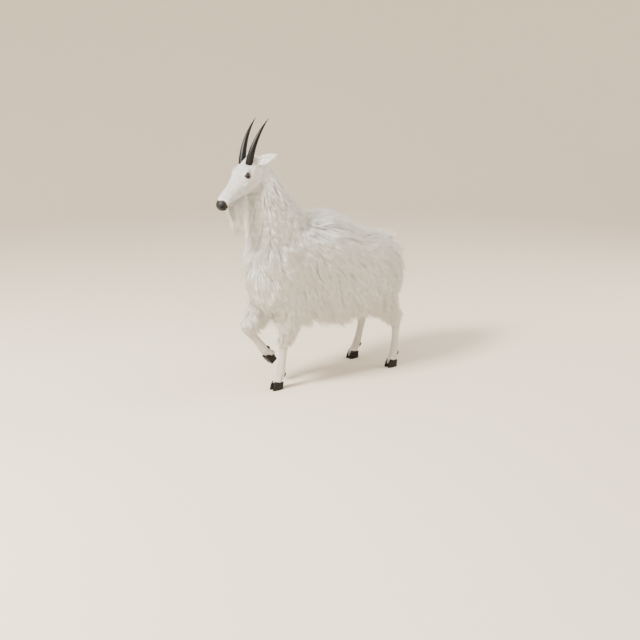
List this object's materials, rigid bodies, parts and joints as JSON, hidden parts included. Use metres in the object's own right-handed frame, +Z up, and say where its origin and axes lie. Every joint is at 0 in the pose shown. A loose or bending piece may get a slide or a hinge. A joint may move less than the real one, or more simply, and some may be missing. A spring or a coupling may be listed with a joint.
{
  "type": "mountain goat",
  "caption": "Mountain goat in long white winter coat, standing with one foreleg lifted and folded, with black horns, nose and hooves.",
  "frame": {"origin": "on the floor under the middle of the whole animal's bounding box", "axes": "+Z up, -Y the way the goat faces, +X its left side"},
  "size_m": [0.4896, 1.3684, 1.5636],
  "materials": {
    "coat": "long soft hair",
    "face": "short dense hair",
    "nose": "moist bare skin",
    "horn": "smooth ringed horn",
    "hoof": "worn horn",
    "eye": "wet eye"
  },
  "bodies": {
    "root": {"torso": "coat", "neck": "coat", "head": "face", "nose": "nose", "tail": "coat", "foreleg_left_upper": "coat", "foreleg_right_upper": "coat", "hindleg_left_upper": "coat", "hindleg_right_upper": "coat", "foreleg_left_lower": "face", "foreleg_right_lower": "face", "hindleg_left_lower": "face", "hindleg_right_lower": "face", "foreleg_left_claw_left": "hoof", "foreleg_left_claw_right": "hoof", "foreleg_right_claw_left": "hoof", "foreleg_right_claw_right": "hoof", "hindleg_left_claw_left": "hoof", "hindleg_left_claw_right": "hoof", "hindleg_right_claw_left": "hoof", "hindleg_right_claw_right": "hoof", "ear_left": "face", "horn_left": "horn", "eye_left": "eye", "ear_right": "face", "horn_right": "horn", "eye_right": "eye"}
  },
  "joints": []
}
